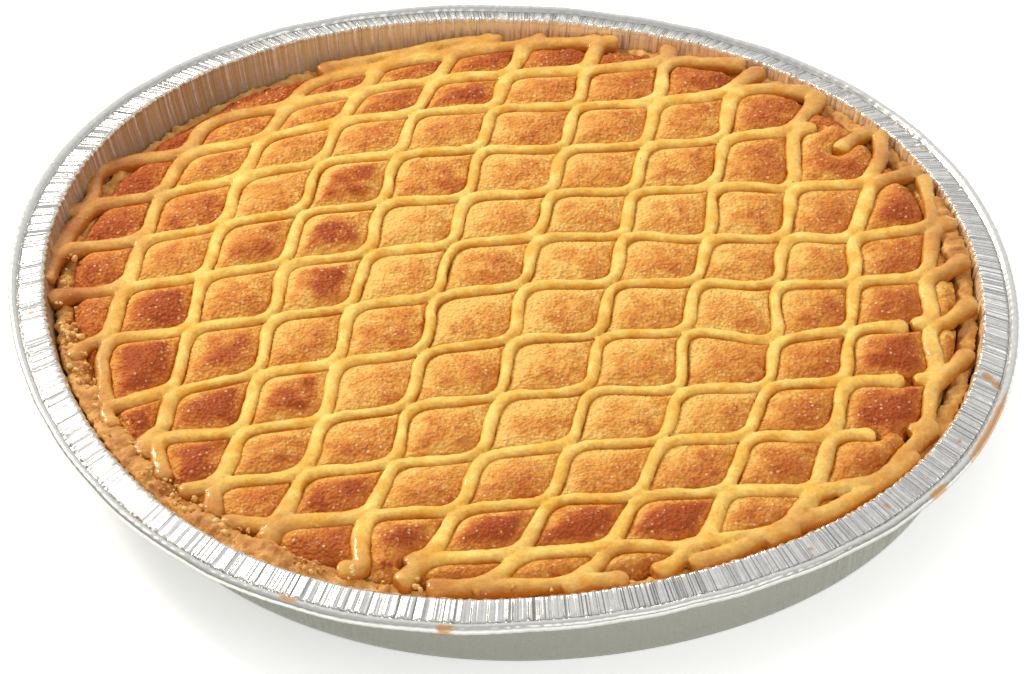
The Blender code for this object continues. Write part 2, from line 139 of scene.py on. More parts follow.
# Loose ends of strands beside the rim, as places that they pass through
LOOSE_STRANDS = (((90.5, 71.0), (96.0, 78.0), (99.5, 81.5), (102.5, 82.0)),)
# Strands that broke: the crossing they start at, their direction, and how much is left at either end
BREAKS = {
    ((4, 0), 0): (0.72, 0.0), ((4, -1), 0): (0.7, 0.0), ((4, -2), 0): (0.42, 0.0),
    ((3, 3), 0): (0.0, 0.8), ((3, 4), 0): (0.0, 0.55),
    ((-6, 6), 0): (0.0, 0.0), ((-6, 5), 1): (0.0, 0.0), ((-5, 6), 1): (0.0, 0.0), ((-5, 7), 0): (0.0, 0.0),
    ((-4, 7), 1): (0.0, 0.0), ((-7, 5), 0): (0.0, 0.0), ((-1, -4), 0): (0.0, 0.3),
    ((-2, -4), 0): (0.0, 0.0),
}
# Cells whose filling puffed up most and browned darkest, and how dark
BROWNED = {
    (-3, 1): 1.0, (-3, 3): 0.8, (-2, 5): 0.5, (-5, 1): 0.9, (-4, 2): 0.5, (-3, 2): 0.9, (0, -4): 1.0, (1, -4): 0.9,
    (2, -4): 0.9, (-5, -1): 1.0, (-5, 0): 0.8, (4, 3): 0.8, (4, 4): 0.7, (4, 2): 0.6, (-4, -2): 0.7, (-3, -1): 0.6,
    (-4, -1): 0.6, (-2, -3): 0.5, (-1, -4): 0.8, (5, -1): 0.6, (4, -1): 0.8, (4, -2): 0.7, (-4, 0): 0.4,
}


def smooth(value):
    """A soft step from 0 to 1."""
    t = np.clip(value, 0.0, 1.0)
    return t * t * (3 - 2 * t)


def out_of_round(angle):
    """By what part of itself the bent rim's radius is longer or shorter in this direction."""
    return sum(depth * np.cos(waves * angle - turn) for waves, depth, turn in BENDS)


def rim_middle():
    """Middle of the box round the bent rim."""
    angles = np.linspace(0, 2 * pi, 721)
    radii = RIM_RADIUS * (1 + out_of_round(angles))
    x, y = radii * np.cos(angles), radii * np.sin(angles)
    return (x.min() + x.max()) / 2, (y.min() + y.max()) / 2


MIDDLE = rim_middle()


def bent(radius, angle, z):
    """Places on the bent dish, from their radii before bending and their heights."""
    share = np.clip(z / RIM_LEVEL, 0.0, 1.0)
    r = radius * (1 + (BASE_BEND + (1 - BASE_BEND) * share) * out_of_round(angle))
    x = r * np.cos(angle) - MIDDLE[0] + (1 - share) * BASE_ASIDE[0]
    y = r * np.sin(angle) - MIDDLE[1] + (1 - share) * BASE_ASIDE[1]
    return x, y


def top(x, y):
    """Height of the strands' ridges above the floor."""
    r = np.hypot(x, y)
    towards = np.clip(np.cos(np.arctan2(y, x) - SINK_ANGLE), 0, None) ** LEAN_POWER
    sunk = SINK * towards * smooth((r - SINK_START) / (SINK_END - SINK_START))
    lifted = LIFT * np.clip(np.cos(np.arctan2(y, x) - LIFT_ANGLE), 0, None) ** LEAN_POWER
    return CROWN - (SHOULDER_FALL - lifted) * (r / BASE_RADIUS) ** 2 - sunk


def wall_radius(z):
    """Outside of the foil wall at a height."""
    lean = (RIM_RADIUS - FLANGE_WIDTH - BASE_RADIUS) / (DISH_HEIGHT - BASE_CORNER)
    return BASE_RADIUS + lean * (z - BASE_CORNER)


def broadened(radius):
    """How many times wider the strands are cut near the rim."""
    return 1 + RIM_BROADER * smooth((radius - BROADER_FROM) / BROADER_OVER)


def reach(angle):
    """How far the lattice reaches in each direction; its inset eases from one direction to the next."""
    degrees = np.degrees(angle) % 360
    stops = np.array([stop for stop, inset in INSETS] + [360 + INSETS[0][0]], float)
    values = np.array([inset for stop, inset in INSETS] + [INSETS[0][1]], float)
    at = np.clip(np.searchsorted(stops, degrees, side="right") - 1, 0, len(stops) - 2)
    t = smooth((degrees - stops[at]) / (stops[at + 1] - stops[at]))
    inset = values[at] + (values[at + 1] - values[at]) * t
    return np.hypot(*bent(wall_radius(RIM_LEVEL), angle, RIM_LEVEL)) - inset


SHIFTS = WANDER * np.random.default_rng(3).uniform(-1, 1, (2, 2 * CELLS + 1, 2 * CELLS + 1))
for (across_cell, up_cell), (pushed_right, pushed_away) in NUDGES.items():
    SHIFTS[:, across_cell + CELLS, up_cell + CELLS] += (pushed_right, pushed_away)


def laid(u, v):
    """Where points of the slit sheet lie: u along the rows and v across them, in cells."""
    u, v = np.asarray(u, float), np.asarray(v, float)
    places = []
    for axis in (0, 1):
        at = SHEET_MIDDLE[axis] + u * ALONG[axis] + v * ACROSS[axis] + u * v * ROW_TWIST[axis]
        at = at + v * v * ROW_BOW[axis] + v ** 3 * ROW_BOW_CUBE[axis] + u ** 3 * ALONG_CUBE[axis]
        for (i, j), pull in TUGS:
            at = at + pull[axis] * np.exp(-((u - i) ** 2 + (v - j) ** 2) / (2 * TUG_SPREAD ** 2))
        places.append(at + between(SHIFTS[axis], u, v))
    x, y = places
    r = np.maximum(np.hypot(x, y), 1.0)
    beyond = np.clip(r - reach(np.arctan2(y, x)) + CROWD_WIDTH, 0, CROWD_TAKES)
    crowded = 1 - (1 - CROWDING) * beyond / r
    return x * crowded, y * crowded


def between(table, u, v):
    """Values of a table with one entry for each crossing, eased between the crossings."""
    u = np.clip(u + CELLS, 0, 2 * CELLS - 0.001)
    v = np.clip(v + CELLS, 0, 2 * CELLS - 0.001)
    i, j = u.astype(int), v.astype(int)
    s, t = smooth(u - i), smooth(v - j)
    near = table[i, j] * (1 - s) + table[i + 1, j] * s
    far = table[i, j + 1] * (1 - s) + table[i + 1, j + 1] * s
    return near * (1 - t) + far * t


def cell_of(x, y):
    """The (u, v) of places on the tart, found by stepping laid() backwards."""
    det = ALONG[0] * ACROSS[1] - ALONG[1] * ACROSS[0]
    u = v = 0.0
    at_x, at_y = SHEET_MIDDLE
    for _ in range(BACK_STEPS):
        dx, dy = x - at_x, y - at_y
        u = u + (dx * ACROSS[1] - dy * ACROSS[0]) / det
        v = v + (dy * ALONG[0] - dx * ALONG[1]) / det
        at_x, at_y = laid(u, v)
    return u, v


# ---------------------------------------------------------------- property, colour and material helpers

FIRST, SECOND = 6, 7     # a Mix node's colour inputs


def srgb(code):
    """Linear colour of an sRGB hex value."""
    parts = [int(code[k:k + 2], 16) / 255 for k in (1, 3, 5)]
    return tuple(c / 12.92 if c <= 0.04045 else ((c + 0.055) / 1.055) ** 2.4 for c in parts)


def feed(node, inputs):
    """Set a node's inputs: a socket, or a node's first open output, is linked, and the rest are values."""
    for key, value in inputs.items():
        socket = node.inputs[key]
        if isinstance(value, bpy.types.Node):
            value = next(output for output in value.outputs if output.enabled)
        if isinstance(value, bpy.types.NodeSocket):
            node.id_data.links.new(value, socket)
        else:
            socket.default_value = (*value, 1.0) if socket.type == "RGBA" else value


def add(tree, kind, inputs=None, stops=(), **settings):
    """Add a shader node with its settings, its values, its links and a colour ramp's stops."""
    made = tree.nodes.new("ShaderNode" + kind)
    for name, value in settings.items():
        setattr(made, name, value)
    for k, (position, shade) in enumerate(stops):
        elements = made.color_ramp.elements
        stop = elements[k] if k < 2 else elements.new(position)
        stop.position, stop.color = position, (*shade, 1.0)
    feed(made, inputs or {})
    return made


def shader_of(name):
    """A new material, with its tree and its Principled shader."""
    material = bpy.data.materials.new(name)
    material.use_nodes = True
    return material, material.node_tree, material.node_tree.nodes["Principled BSDF"]


def colour(name, description, code):
    """A colour that a user can change, from its sRGB hex value."""
    return FloatVectorProperty(name=name, description=description, subtype="COLOR", default=srgb(code))


def length(name, description, default):
    """A length that a user can change, in metres."""
    return FloatProperty(name=name, description=description, default=default, unit="LENGTH")


# ---------------------------------------------------------------- mesh helpers

def deselect():
    for item in bpy.context.view_layer.objects:
        item.select_set(False)


def coordinates(piece):
    """A piece's vertices, in millimetres."""
    co = np.zeros(len(piece.data.vertices) * 3, np.float64)
    piece.data.vertices.foreach_get("co", co)
    return co.reshape(-1, 3) / MM


def polar(co):
    """Radii and directions of places, seen from above."""
    return np.hypot(co[:, 0], co[:, 1]), np.arctan2(co[:, 1], co[:, 0])


def facing(piece):
    """The direction that each of a piece's vertices faces."""
    normals = np.zeros(len(piece.data.vertices) * 3)
    piece.data.vertices.foreach_get("normal", normals)
    return normals.reshape(-1, 3)


def place(piece, co):
    """Move a piece's vertices to these places, in millimetres."""
    piece.data.vertices.foreach_set("co", (co * MM).astype(np.float32).ravel())
    piece.data.update()


def paint(piece, name, values):
    """Give a piece a value for each vertex, for its material to read."""
    layer = piece.data.attributes.new(name, "FLOAT", "POINT")
    layer.data.foreach_set("value", values.astype(np.float32))


def profile_turned(name, profile, steps):
    """A piece turned from a profile in millimetres: the profile's wire, screwed round Z."""
    mesh = bpy.data.meshes.new(name)
    mesh.from_pydata([(r * MM, 0, z * MM) for r, z in profile], [(k, k + 1) for k in range(len(profile) - 1)], [])
    piece = bpy.data.objects.new(name, mesh)
    bpy.context.scene.collection.objects.link(piece)
    shaped(piece, "SCREW", steps=steps, render_steps=steps, use_merge_vertices=True, merge_threshold=0.00001)
    return piece


def make_active(piece):
    deselect()
    piece.select_set(True)
    bpy.context.view_layer.objects.active = piece


def shaped(piece, kind, **settings):
    """Give a piece a modifier with these settings, and apply it."""
    modifier = piece.modifiers.new(kind.lower(), kind)
    for setting, value in settings.items():
        setattr(modifier, setting, value)
    make_active(piece)
    bpy.ops.object.modifier_apply(modifier=modifier.name)


def weigh(piece, name, weights, least=0.0):
    """Put the vertices whose weight is over the least one into a vertex group."""
    group = piece.vertex_groups.new(name=name)
    for index in np.nonzero(weights > least)[0].tolist():
        group.add([index], float(weights[index]), "REPLACE")


def face_outwards(piece):
    """Turn all faces of a closed piece outwards."""
    make_active(piece)
    bpy.ops.object.mode_set(mode="EDIT")
    bpy.ops.mesh.select_all(action="SELECT")
    bpy.ops.mesh.normals_make_consistent(inside=False)
    bpy.ops.object.mode_set(mode="OBJECT")


def named(piece, name):
    """Name a new piece and its mesh."""
    piece.name = piece.data.name = name
    return piece


def roughen(piece, kind, grain, depth, group="", **settings):
    """Displace a piece along its normals by a fine procedural pattern, sizes in millimetres, and apply it."""
    texture = bpy.data.textures.new(piece.name + "_" + kind.lower(), kind)
    texture.noise_scale = grain * MM
    for setting, value in settings.items():
        setattr(texture, setting, value)
    shaped(piece, "DISPLACE", texture=texture, texture_coords="LOCAL", strength=depth * MM, mid_level=0.5,
           vertex_group=group)


def away_from(angle, degrees):
    """How far directions are from one given in degrees, the short way round, in radians."""
    return (angle - radians(degrees) + pi) % (2 * pi) - pi


def finish_piece(piece, material, slot, *nodes):
    """Give a finished piece its material and its place in the frame."""
    piece.data.materials.clear()
    piece.data.materials.append(material)
    piece.data.shade_smooth()
    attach(piece, "root")
    if nodes:
        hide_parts(*nodes)


# ---------------------------------------------------------------- sizes and colours

class FoilSettings(bpy.types.PropertyGroup):
    steps: IntProperty(name="Steps", description="Steps round the rim", default=1440, min=96)
    creases: IntProperty(name="Creases", description="Creases pressed into the rim", default=520, min=12)
    crease_depth: length("Crease depth", "Height of the creases each way", 0.00042)
    thickness: length("Thickness", "Thickness of the foil as modelled", 0.0002)
    metal: colour("Foil", "Colour of the bare foil", "#EFEEEB")
    dull: colour("Dull", "Colour of the foil's rolling marks", "#C8C7C3")
    # painted shade: a darker foil colour for the outer wall, standing in for the darker surroundings that it mirrors
    wall: colour("Wall", "Colour of the handled outer wall", "#9C9D90")
    burnt: colour("Burnt", "Colour of fat burnt onto the wall", "#6B3519")
    stain: colour("Stain", "Colour of baked-on drips", "#C88628")
    tan: colour("Tan", "Colour that baking leaves inside the wall", "#FFD99A")


class PastrySettings(bpy.types.PropertyGroup):
    crumbs: IntProperty(name="Crumbs", description="Loose crumbs on the rim", default=260, min=0)
    crumb: length("Crumb", "Roughness of the broken rim", 0.0017)
    pale: colour("Pale", "Colour of the pastry wall", "#EBCB84")
    golden: colour("Golden", "Colour of the baked rim", "#DCA04C")
    toasted: colour("Toasted", "Colour of its darkest crumbs", "#AA6420")


class FillingSettings(bpy.types.PropertyGroup):
    divisions: IntProperty(name="Divisions", description="Divisions across the filling", default=310, min=40)
    rise: length("Rise", "Height of the pillows above their edges", 0.0010)
    pale: colour("Pale", "Colour where a strand shaded the filling", "#EFBE63")
    golden: colour("Golden", "Main colour of the filling", "#DE973F")
    brown: colour("Brown", "Colour of the pillows' tops", "#C26A24")
    dark: colour("Dark", "Colour of the darkest tops", "#A84A14")
    # the pale flecks in this colour stand for almond and sugar flakes and also for painted glints
    flake_and_glint: colour("Flake", "Colour of the almond flakes and sugar grains", "#FBE2B0")


class LatticeSettings(bpy.types.PropertyGroup):
    width: length("Width", "Width of a strand", 0.0037)
    height: length("Height", "Height of a strand", 0.0036)
    voxel: length("Voxel", "Grid that fuses the strands", 0.00052)
    gold: colour("Gold", "Colour of the glazed strands", "#E9AC32")
    yolk: colour("Yolk", "Colour where the egg wash pooled", "#F8D066")
    # painted shade: a deeper orange given to the strands' sides so that they look shaded
    side_shade: colour("Butter", "Colour of the cut sides", "#CE7E1B")
    toast: colour("Toast", "Colour where strands caught the heat", "#B4661E")


class StageSettings(bpy.types.PropertyGroup):
    distance: length("Distance", "Camera to the middle of the dish", 1.3)
    elevation: FloatProperty(name="Elevation", description="Camera above the horizon", default=radians(38.6),
                             subtype="ANGLE")
    roll: FloatProperty(name="Roll", description="Camera turned about its own axis", default=radians(2.98),
                        subtype="ANGLE")
    lens: FloatProperty(name="Lens", description="Focal length in millimetres", default=163.9)
    aim_right: length("Aim right", "Aim to the right of the dish's middle", 0.00048)
    aim_up: length("Aim up", "Aim above the dish's middle", 0.00703)
    walls: FloatProperty(name="Walls", description="Brightness of the studio's walls", default=0.28)
    ceiling: FloatProperty(name="Ceiling", description="Brightness of the studio's ceiling", default=0.72)
    backdrop: FloatProperty(name="Backdrop", description="Brightness that the white backdrop adds", default=0.55)
    card: FloatProperty(name="Card", description="Brightness of the white card low in front", default=1.0, min=0.0)
    glow: FloatProperty(name="Glow", description="Light that comes through the floor board", default=0.42)
    floor: colour("Floor", "Colour of the floor", "#FBFBF9")


# ---------------------------------------------------------------- foil dish

def foil_material(look):
    """Pressed aluminium kitchen foil: bright, a little rough from rolling, its creases catch the light."""
    material, tree, shader = shader_of("aluminium foil")
    where = add(tree, "TexCoord").outputs["Object"]
    tan, stain, flange, outside = (add(tree, "Attribute", attribute_name=name).outputs["Fac"]
                                   for name in ("tan", "stain", "flange", "outside"))
    # rolling marks, drawn as coarse as they need to be to show: 1.7 mm
    grain = add(tree, "TexNoise", {"Vector": where, "Scale": 600.0, "Detail": 3.0})
    shade = add(tree, "Mix", {"Factor": grain, FIRST: look.metal, SECOND: look.dull}, data_type="RGBA")
    # creases run from the groove to the shoulder: a pattern of the direction alone, about one every 1.4 mm
    apart = add(tree, "SeparateXYZ", {0: where})
    turn = add(tree, "Math", {0: apart.outputs["Y"], 1: apart.outputs["X"]}, operation="ARCTAN2")
    pleats = add(tree, "TexNoise", {"W": turn, "Scale": 96.0, "Detail": 1.0}, noise_dimensions="1D")
    # the browning is striped along the pleats, lighter and darker in turn
    run = add(tree, "MapRange", {"Value": pleats, "From Min": 0.35, "From Max": 0.65, "To Min": 0.45, "To Max": 1.35})
    browned = add(tree, "Math", {0: tan, 1: run}, operation="MULTIPLY", use_clamp=True)
    deep = add(tree, "MapRange", {"Value": tan, "From Min": 0.82, "From Max": 1.04})
    tone = add(tree, "Mix", {"Factor": deep, FIRST: look.tan, SECOND: look.burnt}, data_type="RGBA")
    speck = add(tree, "TexNoise", {"Vector": where, "Scale": 520.0, "Detail": 5.0, "Roughness": 0.7})
    edge = add(tree, "Math", {0: stain, 1: speck}, operation="ADD")
    mask = add(tree, "MapRange", {"Value": edge, "From Min": 0.98, "From Max": 1.3, "To Max": 0.8})
    # first the outer wall takes its painted shade colour, then the browning inside, then the drips
    for amount, over in ((outside, look.wall), (browned, tone), (mask, look.stain)):
        shade = add(tree, "Mix", {"Factor": amount, FIRST: shade, SECOND: over}, data_type="RGBA")
    covered = add(tree, "Math", {0: mask, 1: browned}, operation="MAXIMUM")
    metal = add(tree, "Math", {0: 1.0, 1: covered}, operation="SUBTRACT", use_clamp=True)
    rough = add(tree, "MapRange", {"Value": grain, "To Min": 0.16, "To Max": 0.34})
    creased = add(tree, "Math", {0: pleats, 1: flange}, operation="MULTIPLY")
    press = add(tree, "Bump", {"Height": creased, "Strength": 1.0, "Distance": 0.0016})
    # shallow dents between the creases, a few millimetres across
    dents = add(tree, "TexNoise", {"Vector": where, "Scale": 240.0, "Detail": 2.0})
    bump = add(tree, "Bump", {"Height": dents, "Strength": 0.15, "Distance": 0.0006, "Normal": press})
    feed(shader, {"Base Color": shade, "Metallic": metal, "Roughness": rough, "Normal": bump})
    return material


def crease_wave(rng, count, angles):
    """An uneven run of creases round the rim: up, down, up, each its own width and height."""
    stops = np.sort(rng.uniform(0, 2 * pi, count))
    stops = 0.45 * stops + 0.55 * np.linspace(0, 2 * pi, count, endpoint=False)
    heights = rng.uniform(0.35, 1.0, count) * np.where(np.arange(count) % 2, 1, -1)
    return np.interp(angles % (2 * pi), stops, heights, period=2 * pi)


# Baked-on drips: direction in degrees, radius, and half length and half width in millimetres
DRIPS = ((347.3, 133.0, 2.2, 2.0), (346.8, 136.0, 2.6, 1.6), (339.0, 139.5, 19.0, 1.3), (335.0, 134.0, 1.6, 1.2),
         (228.0, 137.8, 1.4, 1.0), (248.5, 138.6, 3.6, 1.2), (33.0, 135.5, 0.9, 1.0), (326.0, 139.5, 5.0, 0.9),
         (320.0, 133.5, 1.5, 1.2), (308.0, 134.5, 1.2, 0.9), (265.0, 139.4, 3.0, 1.0), (190.0, 134.0, 1.2, 1.2))


ROLL = 1.25              # radius of the rolled edge
BEAD = 2.6               # the rolled edge reaches this far in from the rim
GROOVE = 3.2             # and the groove beside it lies this far in
FLAT = 0.2               # foil lower than this is the flat base
SLOW_WAVES = 60          # dents round the rim that are wider than its creases


class TART_OT_foil(bpy.types.Operator):
    """Press the foil dish: flat base, pleated wall, creased flange, groove and rolled edge"""
    bl_idname = "tart.foil"
    bl_label = "Foil dish"

    def execute(self, context):
        look = context.scene.tart_foil
        edge = RIM_LEVEL
        shoulder = RIM_RADIUS - FLANGE_WIDTH
        groove, groove_level = RIM_RADIUS - GROOVE, edge + 0.25
        profile = [(RIM_RADIUS - ROLL + ROLL * cos(radians(turn)), edge - 0.15 + ROLL * sin(radians(turn)))
                   for turn in np.linspace(-100, 165, 9)]
        profile += [(RIM_RADIUS - 2.75, edge + 0.05), (groove, groove_level)]
        profile += [(groove + part * (shoulder + 1.0 - groove), groove_level + part * (DISH_HEIGHT - edge - 0.15))
                    for part in np.linspace(0.08, 1, 6)]
        profile += [(shoulder + 0.5, DISH_HEIGHT + 0.2), (shoulder, DISH_HEIGHT)]
        profile += [(shoulder - 0.35, DISH_HEIGHT - 0.7)]
        profile += [(wall_radius(z), z) for z in (23.0, 20.0, 17.0, 13.0, 8.0, 4.0)]
        profile += [(BASE_RADIUS, BASE_CORNER), (BASE_RADIUS - 0.5, 0.5), (BASE_RADIUS - BASE_CORNER, 0.0),
                    (60.0, 0.0), (0.0, 0.0)]
        piece = profile_turned("foil_skin", profile, look.steps)
        co = coordinates(piece)
        radius, angle = polar(co)
        z = co[:, 2].copy()
        rng = np.random.default_rng(21)
        depth = look.crease_depth / MM
        flange_wave = crease_wave(rng, look.creases, angle)
        wall_wave = crease_wave(rng, look.creases, angle)
        slow = crease_wave(rng, SLOW_WAVES, angle)
        on_flange = smooth((radius - shoulder) / 1.5) * smooth((RIM_RADIUS - 2.9 - radius) / 0.6)
        on_wall = (radius < shoulder + 0.2) * smooth((z - 5) / 12) * 0.9 + 0.12 * (z > BASE_CORNER + 0.1)
        on_bead = radius > RIM_RADIUS - BEAD
        z_new = z + depth * flange_wave * on_flange + 0.25 * slow * (radius > shoulder) * (z > 20)
        z_new += 0.10 * flange_wave * on_bead
        radius_new = radius + depth * wall_wave * on_wall * (radius < shoulder + 0.2) * (z > FLAT)
        radius_new -= 0.12 * (1 + slow) * on_bead * 0.5
        x, y = bent(radius_new, angle, z)
        z_new = np.where(z < FLAT, 0.0, z_new)
        place(piece, np.stack([x, y, z_new], 1))
        shaped(piece, "SOLIDIFY", thickness=look.thickness, offset=-1)
        # both skins of the foil, the second after the first
        angle, radius, z = np.tile(angle, 2), np.tile(radius, 2), np.tile(z, 2)
        outward = (facing(piece)[:, :2] * np.stack([np.cos(angle), np.sin(angle)], 1)).sum(1)
        on_side = radius < shoulder + 0.3
        # inside the wall the tan grows a little towards the back left and much more towards the left, where it turns
        # to the darkest colour
        sunk = np.clip(np.cos(angle - SINK_ANGLE), 0, 1) ** 0.5
        left = np.clip(np.cos(angle - radians(165)), 0, 1) ** 1.5
        baked = smooth((z - 6) / 6) * on_side * (outward < 0)
        paint(piece, "tan", baked * np.clip(0.79 + 0.03 * sunk + 0.20 * left, 0, 0.98))
        flange = smooth((radius - shoulder + 0.3) / 0.8) * smooth((RIM_RADIUS - 2.8 - radius) / 0.5)
        paint(piece, "flange", flange + 0.4 * on_side * (outward < 0) * smooth((z - 4) / 8)
              + 0.24 * on_side * (outward >= 0))
        # painted shade: the outer wall, and a little of the rolled edge, take the darker wall colour
        paint(piece, "outside", 0.9 * (on_side & (outward >= 0)) + 0.2 * (radius > RIM_RADIUS - BEAD))
        stain = np.zeros(len(z))
        for degrees, at, half, width in DRIPS:
            far = np.hypot(away_from(angle, degrees) * at / half, (radius - at) / width)
            stain = np.maximum(stain, smooth(1.4 - far) * 0.9)
        paint(piece, "stain", stain)
        finish_piece(piece, foil_material(look), "foil", "foil_dish")
        return {"FINISHED"}


# ---------------------------------------------------------------- pastry shell

def pastry_material(look):
    """Shortcrust pastry: dry and crumbly, pale where the foil shielded it, golden to brown on its rim."""
    material, tree, shader = shader_of("shortcrust pastry")
    where = add(tree, "TexCoord").outputs["Object"]
    bake = add(tree, "Attribute", attribute_name="bake").outputs["Fac"]
    patches = add(tree, "TexNoise", {"Vector": where, "Scale": 190.0, "Detail": 5.0})
    level = add(tree, "Math", {0: patches, 1: 1.3, 2: -0.65}, operation="MULTIPLY_ADD")
    amount = add(tree, "Math", {0: bake, 1: level}, operation="ADD")
    ramp = add(tree, "ValToRGB", {"Fac": amount}, ((0.15, look.pale), (1.0, look.toasted), (0.55, look.golden)))
    # crumbs of about a millimetre, and finer ones between them
    crumbs = add(tree, "TexVoronoi", {"Vector": where, "Scale": 900.0})
    fine = add(tree, "TexNoise", {"Vector": where, "Scale": 1500.0, "Detail": 3.0})
    height = add(tree, "Math", {0: crumbs, 1: fine}, operation="ADD")
    bump = add(tree, "Bump", {"Height": height, "Strength": 0.5, "Distance": 0.0004})
    feed(shader, {"Base Color": ramp, "Roughness": 0.62, "Normal": bump, "Subsurface Weight": 0.12,
                  "Subsurface Radius": (1.0, 0.5, 0.2), "Subsurface Scale": 0.0015})
    return material


CASE_LOW, CASE_HIGH = 0.9, 24.0
CASE_FLOOR = 3.2         # thickness of its floor
CASE_STEPS = 1300        # steps round it
CASE_TOP = 22            # about the height of its rim
CASE_BELOW = 3.4         # its rim stays this far below the strands' ridges
CASE_RISE = 2.4          # but rises this much more where it stands free
HEAD_START = 0.72        # part of its height above which it is rim
CASE_GAP = 1.3           # clearance between its wall and the outside of the foil
FLOOR_RADIUS = 90.0      # what lies further out than this is wall


class TART_OT_pastry(bpy.types.Operator):
    """Bake the pastry shell: leaning wall and an uneven, crumbly rim"""
    bl_idname = "tart.pastry"
    bl_label = "Pastry shell"

    def execute(self, context):
        look = context.scene.tart_pastry
        low, high, floor = CASE_LOW, CASE_HIGH, CASE_LOW + CASE_FLOOR
        outer = wall_radius(high) - 1.35
        head = 1.6                               # height of the rounded rim
        profile = [(0.0, floor), (100.0, floor), (wall_radius(floor) - CASE_GAP - PASTRY, low + 3.3)]
        profile += [(wall_radius(z) - CASE_GAP - PASTRY, z) for z in np.linspace(7, high - 2.5, 6)]
        profile += [(outer - PASTRY / 2 + (PASTRY / 2) * cos(radians(turn)), high - head + head * sin(radians(turn)))
                    for turn in np.linspace(170, 10, 10)]
        profile += [(wall_radius(z) - CASE_GAP, z) for z in np.linspace(high - 2.5, 3.0, 10)]
        profile += [(wall_radius(low) - 2.2, low), (60.0, low), (0.0, low)]
        piece = profile_turned("pastry_case", profile, CASE_STEPS)
        co = coordinates(piece)
        radius, angle = polar(co)
        z = co[:, 2].copy()
        rng = np.random.default_rng(8)
        lumps = crease_wave(rng, 70, angle)
        big = crease_wave(rng, 26, angle)
        # the wall stands free of the filling at the lower left and at the right
        free = smooth(1.6 - np.abs(away_from(angle, 224)) / radians(26))
        free = np.maximum(free, smooth(1.5 - np.abs(away_from(angle, 17)) / radians(7)))
        rim_x, rim_y = bent(wall_radius(CASE_TOP) - 3, angle, CASE_TOP)
        rim = top(rim_x, rim_y) - PROUD - CASE_BELOW + CASE_RISE * free
        rim = rim + (0.35 + 0.5 * free) * lumps + 0.5 * big * (0.3 + free)
        share = np.clip((z - low) / (high - low), 0, 1)
        wall = radius > FLOOR_RADIUS
        z_new = np.where(wall, low + share * (rim - low), z)
        radius_new = radius - (wall_radius(z) - wall_radius(z_new)) * wall
        inner = radius < wall_radius(z) - CASE_GAP - PASTRY / 2
        radius_new -= (2.4 + 0.6 * lumps) * free * smooth((share - HEAD_START) / 0.28) * inner
        x, y = bent(radius_new, angle, z_new)
        place(piece, np.stack([x, y, z_new], 1))
        rimward = smooth((share - HEAD_START) / 0.2) * wall
        weigh(piece, "rim", rimward, 0.02)
        roughen(piece, "VORONOI", 3.4, look.crumb / MM * 0.9, "rim")
        roughen(piece, "CLOUDS", 3.0, look.crumb / MM, "rim", noise_depth=3)
        roughen(piece, "CLOUDS", 1.1, look.crumb / MM * 0.7, "rim", noise_depth=1)
        grain = np.random.default_rng(4).uniform(-0.06, 0.06, len(z))
        crown = smooth((share - 0.93) / 0.07)
        paint(piece, "bake", 0.10 + (0.40 + (0.12 + 0.16 * free) * crown + grain) * rimward)
        finish_piece(piece, pastry_material(look), "shortcrust", "pastry_shell")
        return {"FINISHED"}


# ---------------------------------------------------------------- lattice

PITCH = 0.9              # spacing of the sections along a strand
SHORTEST = 11.0          # a shorter stretch of a strand is left out
OVER_HEIGHT = 1.9        # height of a strand where it climbs over the shoulder
OVER_RISE = 2.75         # and how far its ridge stands above the shoulder there
MOST_TRIANGLES = 185000
# How a hand-cut strand strays, as how much and over how many sections: aside and in width, tilt and height
SWAY, SWELL, TILT, WAVE = (0.30, 8), (0.17, 11), (0.28, 17), (0.18, 13)
FLARE, FLARE_RADIUS = 0.32, 98.0         # the ends this far out flare this much


def strand_routes():
    """Centre lines of the strands, as lists of (u, v): every strand climbs the sheet like a staircase."""
    lean = -0.025            # at a crossing the corners of two strands reach past each other by this much
    routes = []
    for family in range(-2 * CELLS, 2 * CELLS + 1):
        corners = []
        for i in range(-CELLS, CELLS):
            j = i + family
            if not -CELLS <= j < CELLS:
                continue
            corners.append(((i + lean, j - lean), ((i, j), 0)))
            corners.append(((i + 1 - lean, j + lean), ((i + 1, j), 1)))
        if len(corners) > 1:
            routes += rounded_route(corners)
    return routes


def rounded_route(corners):
    """A staircase with its corners eased, cut where a strand is broken."""
    ease = 0.30              # part of an edge that a corner takes up
    points = [corner for corner, _ in corners]
    pieces = [[]]
    for k in range(len(points) - 1):
        start, end = np.array(points[k]), np.array(points[k + 1])
        ahead = np.array(points[k + 2]) if k + 2 < len(points) else end * 2 - start
        left, right = BREAKS.get(corners[k][1], (1.0, 0.0))
        broken = corners[k][1] in BREAKS
        for t in np.linspace(ease, 1 - ease, 8):
            if broken and not (t < left or t > 1 - right):
                if pieces[-1]:
                    pieces.append([])
                continue
            pieces[-1].append(start + (end - start) * t)
        if broken and right == 0 and pieces[-1]:
            pieces.append([])
        for t in np.linspace(0, 1, 11)[1:-1]:
            a = start + (end - start) * (1 - ease)
            c = end + (ahead - end) * ease
            pieces[-1].append(a * (1 - t) ** 2 + end * 2 * t * (1 - t) + c * t * t)
    return [np.array(piece) for piece in pieces if len(piece) > 3]


